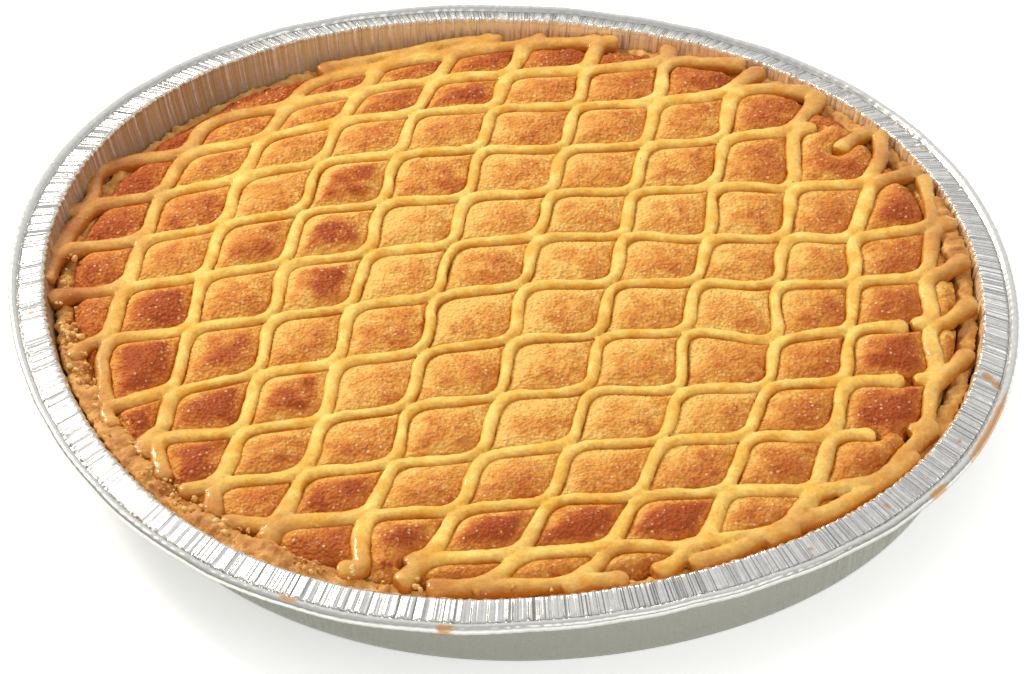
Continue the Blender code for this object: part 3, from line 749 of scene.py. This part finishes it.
def on_tart(route):
    """The stretches of a route that lie within the lattice's reach, in millimetres, evenly spaced."""
    x, y = laid(route[:, 0], route[:, 1])
    inside = np.hypot(x, y) < reach(np.arctan2(y, x)) - 1.0
    stretches = []
    start = None
    for k in range(len(x) + 1):
        if k < len(x) and inside[k]:
            start = k if start is None else start
        elif start is not None:
            stretch = np.stack([x[start:k], y[start:k]], 1)
            if np.hypot(*np.diff(stretch, axis=0).T).sum() > SHORTEST:
                stretches.append(stretch)
            start = None
    return [even(stretch, PITCH) for stretch in stretches]


def even(line, pitch):
    """A line's points, spaced evenly along it."""
    steps = np.hypot(*np.diff(line, axis=0).T)
    along = np.concatenate([[0], np.cumsum(steps)])
    count = max(int(along[-1] / pitch), 3)
    at = np.linspace(0, along[-1], count)
    return np.stack([np.interp(at, along, line[:, 0]), np.interp(at, along, line[:, 1])], 1)


def beads(count, stray, rng):
    """Slow random values along a strand: how far each way, and a new one after how many sections."""
    much, every = stray
    stops = np.arange(0, count + every, every)
    at = np.arange(count)
    k = np.minimum(at // every, len(stops) - 2)
    values = rng.uniform(-1, 1, len(stops))
    return much * (values[k] + (values[k + 1] - values[k]) * smooth((at - stops[k]) / every))


def strand_mesh(line, width, height, rng):
    """Vertices and faces of one strand: a bar of dough along a line, rounded on top, hand cut, its ends drawn in."""
    half = [(0.97, 0.0), (1.0, 0.42), (0.93, 0.66), (0.76, 0.84), (0.45, 0.96)]
    section = np.array(half + [(0.0, 1.0)] + [(-side, up) for side, up in half[::-1]])
    count = len(line)
    tangent = np.gradient(line, axis=0)
    tangent /= np.maximum(np.hypot(*tangent.T), 1e-9)[:, None]
    normal = np.stack([-tangent[:, 1], tangent[:, 0]], 1)
    line = line + normal * beads(count, SWAY, rng)[:, None]
    place_along = np.arange(count)
    end = np.minimum(place_along, count - 1 - place_along) / 2.5
    taper = np.sqrt(np.clip(end + 0.35, 0.05, 1))
    radius, angle = np.hypot(*line.T), np.arctan2(line[:, 1], line[:, 0])
    # the ends by the rim were pressed flat and flare out
    flare = 1 + FLARE * smooth(1 - end / 4.0) * smooth((radius - FLARE_RADIUS) / 8.0)
    wide = width / 2 * (1 + beads(count, SWELL, rng)) * taper * broadened(radius) * flare
    tilt = beads(count, TILT, rng)
    wall = np.hypot(*bent(wall_radius(RIM_LEVEL), angle, RIM_LEVEL))
    over = smooth((radius - wall + 1.0) / 3.0)     # where a strand climbs over the dish's shoulder
    ridge = top(line[:, 0], line[:, 1]) - PROUD + beads(count, WAVE, rng)
    ridge = ridge + (np.maximum(ridge, DISH_HEIGHT + OVER_RISE) - ridge) * over
    tall = height + (np.minimum(height, OVER_HEIGHT) - height) * over
    vertices = []
    for k in range(count):
        across = section[:, 0] * wide[k]
        x = line[k, 0] + normal[k, 0] * across
        y = line[k, 1] + normal[k, 1] * across
        crown = ridge[k] + tilt[k] * section[:, 0] * section[:, 1]
        z = crown - tall[k] * (1 - section[:, 1] * (0.72 + 0.28 * taper[k]))
        vertices.append(np.stack([x, y, z], 1))
    size = len(section)
    faces = []
    for k in range(count - 1):
        for s in range(size):
            t = (s + 1) % size
            faces.append((k * size + s, k * size + t, (k + 1) * size + t, (k + 1) * size + s))
    faces.append(tuple(range(size))[::-1])
    faces.append(tuple((count - 1) * size + s for s in range(size)))
    return np.concatenate(vertices), faces


def lattice_material(look):
    """Egg-washed dough: golden with a half gloss on top, a deeper orange painted on its sides as shade, toasted at
    the rim.
    """
    material, tree, shader = shader_of("glazed shortcrust lattice")
    where = add(tree, "TexCoord").outputs["Object"]
    toast = add(tree, "Attribute", attribute_name="toast").outputs["Fac"]
    side = add(tree, "Attribute", attribute_name="side").outputs["Fac"]
    # the egg wash pools and runs thin every few millimetres
    streaks = add(tree, "TexNoise", {"Vector": where, "Scale": 170.0, "Detail": 4.0})
    wash = add(tree, "MapRange", {"Value": streaks, "From Min": 0.36, "From Max": 0.64})
    base = add(tree, "Mix", {"Factor": wash, FIRST: look.gold, SECOND: look.yolk}, data_type="RGBA")
    # painted shade: the sides, as the side attribute marks them, take the deeper orange
    side_shaded = add(tree, "Mix", {"Factor": side, FIRST: base, SECOND: look.side_shade}, data_type="RGBA")
    # flour and crumb, seen as freckles of about a millimetre
    freckle = add(tree, "TexNoise", {"Vector": where, "Scale": 900.0, "Detail": 3.0})
    dusk = add(tree, "MapRange", {"Value": freckle, "From Min": 0.35, "From Max": 0.7, "To Min": 0.9, "To Max": 1.1})
    freckled = add(tree, "Mix", {"Factor": 1.0, FIRST: side_shaded, SECOND: dusk}, data_type="RGBA", blend_type="MULTIPLY")
    # the toasting comes and goes about every centimetre
    blotch = add(tree, "TexNoise", {"Vector": where, "Scale": 90.0, "Detail": 5.0, "Roughness": 0.6})
    amount = add(tree, "Math", {0: toast, 1: blotch}, operation="ADD")
    level = add(tree, "MapRange", {"Value": amount, "From Min": 0.70, "From Max": 1.38})
    toasted = add(tree, "Mix", {"Factor": level, FIRST: freckled, SECOND: look.toast}, data_type="RGBA")
    height = add(tree, "Math", {0: streaks, 1: freckle}, operation="ADD")
    bump = add(tree, "Bump", {"Height": height, "Strength": 0.5, "Distance": 0.0006})
    rough = add(tree, "MapRange", {"Value": streaks, "From Min": 0.35, "From Max": 0.65,
                                   "To Min": 0.5, "To Max": 0.22})
    feed(shader, {"Base Color": toasted, "Roughness": rough, "Normal": bump, "Subsurface Weight": 0.08,
                  "Subsurface Radius": (1.0, 0.55, 0.2), "Subsurface Scale": 0.0012, "Specular IOR Level": 0.25,
                  "Coat Weight": 0.45, "Coat Roughness": 0.12})
    return material


def all_strands():
    """Every strand's line on the tart, in millimetres."""
    lines = []
    for route in strand_routes():
        lines += on_tart(route)
    start, end, inset = RIM_STRAND
    angle = np.radians(np.linspace(start, end, 60))
    r = reach(angle) - inset + 3.0 + 0.8 * np.sin(angle * 9)
    lines.append(even(np.stack([r * np.cos(angle), r * np.sin(angle)], 1), PITCH))
    for corners in LOOSE_STRANDS:
        lines.append(even(np.array(corners), PITCH))
    return lines


class TART_OT_lattice(bpy.types.Operator):
    """Lay the lattice: staircase strands of dough, fused where they touch"""
    bl_idname = "tart.lattice"
    bl_label = "Lattice"

    def execute(self, context):
        look = context.scene.tart_lattice
        rng = np.random.default_rng(12)
        vertices, faces, offset = [], [], 0
        for line in all_strands():
            points, quads = strand_mesh(line, look.width / MM, look.height / MM, rng)
            vertices.append(points)
            faces += [tuple(offset + k for k in quad) for quad in quads]
            offset += len(points)
        mesh = bpy.data.meshes.new("lattice_dough")
        mesh.from_pydata((np.concatenate(vertices) * MM).tolist(), [], faces)
        piece = bpy.data.objects.new("lattice_dough", mesh)
        context.scene.collection.objects.link(piece)
        face_outwards(piece)
        piece.data.remesh_voxel_size = look.voxel
        bpy.ops.object.voxel_remesh()
        shaped(piece, "SMOOTH", iterations=1, factor=0.5)
        roughen(piece, "CLOUDS", 5.0, 0.55, noise_depth=2)
        roughen(piece, "CLOUDS", 1.5, 0.35, noise_depth=1)
        count = len(piece.data.polygons) * 2
        if count > MOST_TRIANGLES:
            shaped(piece, "DECIMATE", ratio=MOST_TRIANGLES / count)
        co = coordinates(piece)
        upright = facing(piece)[:, 2]
        depth = top(co[:, 0], co[:, 1]) - co[:, 2]
        # painted shade: the less a place faces straight up, the more of the deeper side colour it takes
        paint(piece, "side", smooth((0.80 - upright) / 0.6) * 0.85)
        radius, angle = polar(co)
        rimward = smooth((radius - 84) / 40)
        left = np.clip(np.cos(angle - radians(178)), 0, 1) ** 2
        tips = smooth((radius - 112) / 14)
        # the toast grows towards the rim, to the left and at the tips, and the strands are also a little darker the
        # lower a place lies below the ridge
        toast = 0.06 + 0.28 * rimward + 0.20 * left * rimward + 0.22 * tips + 0.10 * np.clip(depth / 3, 0, 1)
        paint(piece, "toast", toast)
        finish_piece(piece, lattice_material(look), "glazed_lattice", "lattice")
        return {"FINISHED"}


# ---------------------------------------------------------------- filling

def filling_material(look):
    """Baked almond paste: grainy and matt, pale beside the strands, browned on the pillows' tops."""
    material, tree, shader = shader_of("baked almond filling")
    where = add(tree, "TexCoord").outputs["Object"]
    bake = add(tree, "Attribute", attribute_name="bake").outputs["Fac"]
    # it browned in patches of about 6 mm, with specks of about a millimetre
    patches = add(tree, "TexNoise", {"Vector": where, "Scale": 160.0, "Detail": 7.0,
                                     "Roughness": 0.62, "Distortion": 0.5})
    specks = add(tree, "TexNoise", {"Vector": where, "Scale": 850.0, "Detail": 4.0})
    coarse = add(tree, "Math", {0: patches, 1: 1.35, 2: -0.675}, operation="MULTIPLY_ADD")
    fine = add(tree, "Math", {0: specks, 1: 0.45, 2: -0.225}, operation="MULTIPLY_ADD")
    both = add(tree, "Math", {0: coarse, 1: fine}, operation="ADD")
    amount = add(tree, "Math", {0: bake, 1: both}, operation="ADD")
    ramp = add(tree, "ValToRGB", {"Fac": amount},
               ((0.08, look.pale), (0.98, look.dark), (0.36, look.golden), (0.68, look.brown)))
    # pale flecks, partly flakes of almond and sugar and partly painted glints, paler than the paste: drawn coarse,
    # about 1.6 mm apart where they show
    flake_and_glint_cells = add(tree, "TexVoronoi", {"Vector": where, "Scale": 640.0})
    dot = add(tree, "MapRange", {"Value": flake_and_glint_cells, "From Min": 0.20, "From Max": 0.30, "To Min": 0.5, "To Max": 0.0})
    chosen = add(tree, "SeparateXYZ", {0: flake_and_glint_cells.outputs["Color"]})
    some = add(tree, "MapRange", {"Value": chosen.outputs["X"], "From Min": 0.45, "From Max": 0.9})
    flecks_and_glints = add(tree, "Math", {0: dot, 1: some}, operation="MULTIPLY")
    flecked_and_glinting = add(tree, "Mix", {"Factor": flecks_and_glints, FIRST: ramp, SECOND: look.flake_and_glint}, data_type="RGBA")
    # ground almond, in grains of about a millimetre
    grains = add(tree, "TexVoronoi", {"Vector": where, "Scale": 950.0})
    height = add(tree, "Math", {0: grains, 1: specks}, operation="ADD")
    bump = add(tree, "Bump", {"Height": height, "Strength": 0.9, "Distance": 0.0007})
    rough = add(tree, "MapRange", {"Value": specks, "From Min": 0.48, "From Max": 0.66,
                                   "To Min": 0.7, "To Max": 0.14})
    feed(shader, {"Base Color": flecked_and_glinting, "Roughness": rough, "Normal": bump, "Specular IOR Level": 0.22,
                  "Subsurface Weight": 0.05, "Subsurface Radius": (1.0, 0.5, 0.2), "Subsurface Scale": 0.0015})
    return material


def disc(x, y):
    """Squares to discs: evenly spaced places in a square, moved to a disc of the same size."""
    r = np.maximum(np.abs(x), np.abs(y))
    with np.errstate(divide="ignore", invalid="ignore"):
        sideways = np.where(x < 0, pi, 0) + (pi / 4) * y / x
        upwards = np.where(y < 0, -pi / 2, pi / 2) - (pi / 4) * x / y
    angle = np.where(np.abs(x) >= np.abs(y), sideways, upwards)
    return r, np.where(r == 0, 0, angle)


FILLING_LOW = 4.4        # underside of the filling
CLEARANCE = 0.45         # between the filling and what it touches
LEVEL_LIMIT, LIMIT_EASE = CROWN - 0.45, 0.3      # no pillow puffed up past this
TUCK = 0.35              # the filling starts this far under a strand's side
EDGE_DROP = 1.65         # there it is this far below the strand's ridge
SHOULDER_RUN = 1.8       # it swells up steeply over this distance
DOME_RUN = 7.5           # and slowly over this one
ROUNDING, ROUND_DROP = 5.0, 2.4          # width and depth of its rounded outer edge
DRAW_IN = 0.955          # the underside is narrower than the top by this factor
SKIRT = (-0.004, -0.010)                 # depths of the two rows of faces below the top, in metres


class TART_OT_filling(bpy.types.Operator):
    """Bake the filling: a pillow in every cell, a channel under every strand, grainy all over"""
    bl_idname = "tart.filling"
    bl_label = "Filling"

    def execute(self, context):
        look = context.scene.tart_filling
        width = context.scene.tart_lattice.width / MM
        thickness = context.scene.tart_lattice.height / MM
        edge_radius = wall_radius(19) - 1.24 - PASTRY - CLEARANCE
        deselect()
        bpy.ops.mesh.primitive_grid_add(x_subdivisions=look.divisions, y_subdivisions=look.divisions, size=2.0)
        piece = named(context.object, "filling_top")
        co = coordinates(piece) * MM
        part, angle = disc(co[:, 0], co[:, 1])
        x, y = bent(part * edge_radius, angle, 20)
        u, v = cell_of(x, y)
        spots = np.concatenate(all_strands()).tolist()
        tree = KDTree(len(spots))
        for k, (a, b) in enumerate(spots):
            tree.insert((a, b, 0), k)
        tree.balance()
        near = np.array([tree.find((a, b, 0))[2] for a, b in zip(x.tolist(), y.tolist())])
        i, j = np.floor(u), np.floor(v)
        fu, fv = u - i, v - j
        cell = tuple((np.clip(k, -CELLS, CELLS - 1) + CELLS).astype(int) for k in (i, j))
        cells = (2 * CELLS, 2 * CELLS)
        rng = np.random.default_rng(5)
        swell = rng.uniform(-1, 1, cells)[cell]
        tint = rng.uniform(-1, 1, cells)[cell]
        dark = np.zeros(cells)
        for (a, b), much in BROWNED.items():
            dark[a + CELLS, b + CELLS] = much
        dark = dark[cell]
        ridge = top(x, y) - PROUD
        start = width / 2 * broadened(np.hypot(x, y)) - TUCK
        shoulder = 1 - np.exp(-np.clip(near - start, 0, None) / SHOULDER_RUN)
        dome = smooth((near - start) / DOME_RUN)
        lean = (fu - 0.5) - (fv - 0.5)
        height = ridge - EDGE_DROP + look.rise / MM * shoulder
        height += (0.95 + 0.5 * swell + 1.1 * dark + 1.1 * lean) * dome
        height = LEVEL_LIMIT - LIMIT_EASE * np.log1p(np.exp((LEVEL_LIMIT - height) / LIMIT_EASE))
        channel = smooth((start + 0.2 - near) / 0.7)
        height = height * (1 - channel) + (ridge - thickness - CLEARANCE) * channel
        outward = part * edge_radius
        rounding = smooth((outward - edge_radius + ROUNDING) / ROUNDING)
        height -= ROUND_DROP * rounding ** 2
        place(piece, np.stack([x, y, height], 1))
        weigh(piece, "open", smooth((near - start - 0.4) / 2.0))
        rimward = smooth((outward - 58.0) / 55.0)
        bake = 0.17 + 0.22 * smooth((near - 2.2) / 5.5) + 0.34 * lean + 0.10 * tint + 0.29 * rimward
        blot = np.array([noise.noise(Vector((a / 5.5, b / 5.5, 0.3))) for a, b in zip(x.tolist(), y.tolist())])
        bake += 0.55 * dark * smooth((near - 2.4) / 4.5) * (1 + 0.9 * lean) * np.clip(0.95 + 1.3 * blot, 0, 1.6)
        bake += 0.35 * smooth((outward - edge_radius + 16) / 14) * np.clip(np.cos(angle - SINK_ANGLE), 0, 1)
        paint(piece, "bake", bake)
        roughen(piece, "CLOUDS", 3.2, 0.9, "open", noise_depth=3)
        roughen(piece, "CLOUDS", 1.2, 0.6, "open", noise_depth=1)
        make_active(piece)
        bpy.ops.object.mode_set(mode="EDIT")
        bpy.ops.mesh.select_all(action="DESELECT")
        bpy.ops.mesh.select_mode(type="EDGE")
        bpy.ops.mesh.select_non_manifold()
        for depth in SKIRT:
            bpy.ops.mesh.extrude_region_move(TRANSFORM_OT_translate={"value": (0, 0, depth)})
        bpy.ops.mesh.edge_face_add()
        bpy.ops.object.mode_set(mode="OBJECT")
        face_outwards(piece)
        co = coordinates(piece)
        drop = np.arange(len(co)) >= len(x) + 4 * look.divisions
        co[drop] *= (DRAW_IN, DRAW_IN, 0.0)
        co[drop, 2] = FILLING_LOW
        place(piece, co)
        finish_piece(piece, filling_material(look), "almond_filling", "frangipane")
        return {"FINISHED"}


# ---------------------------------------------------------------- crumbs

CRUMB_SIDE, CRUMB_SPREAD = radians(222.0), radians(34.0)
CRUMB_BAND = (1.9, 7.6)      # how far in from the foil wall they lie
CRUMB_LEAST, CRUMB_MORE = 0.35, 0.75     # the smallest one's radius, and how much more the largest has


class TART_OT_crumbs(bpy.types.Operator):
    """Scatter the crumbs that broke off the pastry's rim and stayed on it"""
    bl_idname = "tart.crumbs"
    bl_label = "Crumbs"

    def execute(self, context):
        look = context.scene.tart_pastry
        rng = np.random.default_rng(33)
        angle = CRUMB_SIDE + CRUMB_SPREAD * np.clip(rng.normal(0, 0.8, look.crumbs), -1.6, 1.6)
        radius = wall_radius(CASE_TOP) - rng.uniform(*CRUMB_BAND, look.crumbs)
        x, y = bent(radius, angle, CASE_TOP)
        size = CRUMB_LEAST + CRUMB_MORE * rng.uniform(0, 1, look.crumbs) ** 2.5
        deselect()
        bpy.ops.mesh.primitive_ico_sphere_add(subdivisions=2, radius=1.0)
        piece = named(context.object, "crumbs")
        ball = coordinates(piece) * MM
        faces = np.array([face.vertices[:] for face in piece.data.polygons])
        shells, sides = [], []
        for k in range(look.crumbs):
            turn = Matrix.Rotation(rng.uniform(0, 2 * pi), 3, Vector(rng.normal(size=3)).normalized())
            shape = ball * (1 + 0.22 * rng.normal(size=(len(ball), 1))) * rng.uniform(0.6, 1.2, 3)
            level = top(x[k], y[k]) - PROUD - 1.2
            shells.append(shape @ np.array(turn) * size[k] + (x[k], y[k], level + 0.3 * size[k]))
            sides.append(faces + k * len(ball))
        mesh = bpy.data.meshes.new("crumbs")
        mesh.from_pydata((np.concatenate(shells) * MM).tolist(), [], np.concatenate(sides).tolist())
        piece.data = mesh
        face_outwards(piece)
        paint(piece, "bake", np.repeat(rng.uniform(0.25, 0.8, look.crumbs), len(ball)))
        finish_piece(piece, pastry_material(look), "shortcrust")
        return {"FINISHED"}


# ---------------------------------------------------------------- studio

WHITE = (1.0, 1.0, 1.0)
# The lamps, aimed at the dish: where they stand and how wide they are in metres, their watts and colour
LAMPS = (("key", (-1.05, 0.85, 0.98), 0.45, 22.5, "#FFF6E4"), ("fill", (0.9, -1.0, 1.0), 1.2, 4.5, "#FFFFFF"))


class TART_OT_studio(bpy.types.Operator):
    """Set up the pale floor, the soft lights and the camera"""
    bl_idname = "tart.studio"
    bl_label = "Studio"

    def execute(self, context):
        look = context.scene.tart_stage
        deselect()
        bpy.ops.mesh.primitive_plane_add(size=8.0, location=(0, 0, 0))
        floor = context.object
        floor.name = "studio_floor"
        material, tree, shader = shader_of("matt white board, lit from below")
        feed(shader, {"Emission Color": WHITE, "Emission Strength": look.glow, "Base Color": look.floor,
                      "Roughness": 0.9})
        floor.data.materials.append(material)
        world = bpy.data.worlds.new("studio")
        context.scene.world = world
        world.use_nodes = True
        tree = world.node_tree
        sky = tree.nodes["Background"]
        apart = add(tree, "SeparateXYZ", {0: add(tree, "TexCoord").outputs["Generated"]})
        # a white ceiling over darker studio walls, which the metal needs to show its creases; then the white
        # backdrop, and a white card low in front, which the wall across the dish mirrors
        total = None
        for axis, start, end, low, high in (("Z", 0.05, 0.85, look.walls, look.ceiling),
                                            ("Y", 0.0, 0.9, 0.0, look.backdrop), ("Y", -0.98, -0.86, look.card, 0.0)):
            light = add(tree, "MapRange", {"Value": apart.outputs[axis], "From Min": start, "From Max": end,
                                           "To Min": low, "To Max": high})
            total = add(tree, "Math", {0: total, 1: light}, operation="ADD") if total else light
        feed(sky, {"Strength": total, "Color": WHITE})
        for name, where, size, power, tone in LAMPS:
            lamp = bpy.data.lights.new(name, "AREA")
            lamp.shape = "SQUARE"
            lamp.size = size
            lamp.energy = power
            lamp.color = srgb(tone)
            holder = bpy.data.objects.new(name, lamp)
            holder.location = where
            holder.rotation_euler = (-Vector(where)).to_track_quat("-Z", "Y").to_euler()
            context.scene.collection.objects.link(holder)
        camera = bpy.data.cameras.new("camera")
        camera.lens = look.lens
        camera.sensor_width = 36.0
        camera.clip_start = 0.01
        holder = bpy.data.objects.new("camera", camera)
        context.scene.collection.objects.link(holder)
        back = Vector((0, -cos(look.elevation), sin(look.elevation)))
        right = Vector((1, 0, 0))
        up = back.cross(right)
        rolled_right = right * cos(look.roll) + up * sin(look.roll)
        rolled_up = up * cos(look.roll) - right * sin(look.roll)
        position = back * look.distance + rolled_right * look.aim_right + rolled_up * look.aim_up
        axes = Matrix((rolled_right, rolled_up, back)).transposed().to_4x4()
        axes.translation = position
        holder.matrix_world = axes
        context.scene.camera = holder
        context.scene.view_settings.view_transform = "Standard"
        return {"FINISHED"}


class TART_PT_panel(bpy.types.Panel):
    """Lists the tart's pieces"""
    bl_label = "Tart"
    bl_space_type = "VIEW_3D"
    bl_region_type = "UI"
    bl_category = "Tart"

    def draw(self, context):
        for operator in OPERATORS:
            self.layout.operator(operator.bl_idname)


GROUPS = {"tart_foil": FoilSettings, "tart_pastry": PastrySettings, "tart_filling": FillingSettings,
          "tart_lattice": LatticeSettings, "tart_stage": StageSettings}
OPERATORS = (TART_OT_foil, TART_OT_pastry, TART_OT_filling, TART_OT_lattice, TART_OT_crumbs, TART_OT_studio)


def register():
    for name, group in GROUPS.items():
        bpy.utils.register_class(group)
        setattr(bpy.types.Scene, name, PointerProperty(type=group))
    for item in OPERATORS + (TART_PT_panel,):
        bpy.utils.register_class(item)


def unregister():
    for item in (TART_PT_panel,) + OPERATORS[::-1]:
        bpy.utils.unregister_class(item)
    for name, group in GROUPS.items():
        delattr(bpy.types.Scene, name)
        bpy.utils.unregister_class(group)


def main():
    register()
    bpy.ops.tart.foil()
    bpy.ops.tart.pastry()
    bpy.ops.tart.filling()
    bpy.ops.tart.lattice()
    bpy.ops.tart.crumbs()
    bpy.ops.tart.studio()


if __name__ == "__main__":
    main()
